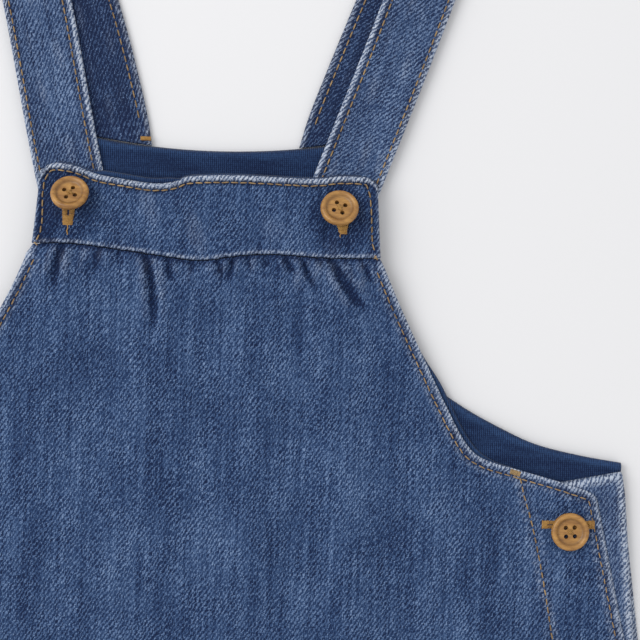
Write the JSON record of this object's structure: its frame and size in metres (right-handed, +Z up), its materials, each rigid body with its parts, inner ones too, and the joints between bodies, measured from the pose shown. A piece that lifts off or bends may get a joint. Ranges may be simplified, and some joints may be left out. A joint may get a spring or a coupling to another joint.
{
  "type": "pinafore dress",
  "caption": "Toddler's denim pinafore dress laid flat, with a yoke, gathered skirt, buttoned straps, side flaps and a knitted lining at the back",
  "frame": {"origin": "centre of the dress's outline on the surface that it lies on", "axes": "Z up from the surface through the front, Y towards the shoulders, X to the wearer's left as the front is looked at from above"},
  "size_m": [0.427, 0.4948, 0.0178],
  "materials": {
    "denim": "washed indigo twill with pale worn edges",
    "jersey": "navy fine ribbed knit",
    "wood": "satin turned wood"
  },
  "bodies": {
    "root": {"back_panel": "denim", "back_lining": "jersey", "front_panel": "denim", "front_yoke": "denim", "yoke_facing": "jersey", "armhole_facing_left": "jersey", "armhole_facing_right": "jersey", "button_stand_left": "denim", "button_stand_right": "denim", "strap_left": "denim", "strap_right": "denim", "button_front_left": "wood", "button_front_right": "wood", "button_side_left_upper": "wood", "button_side_left_lower": "wood", "button_side_right_upper": "wood", "button_side_right_lower": "wood"}
  },
  "joints": []
}
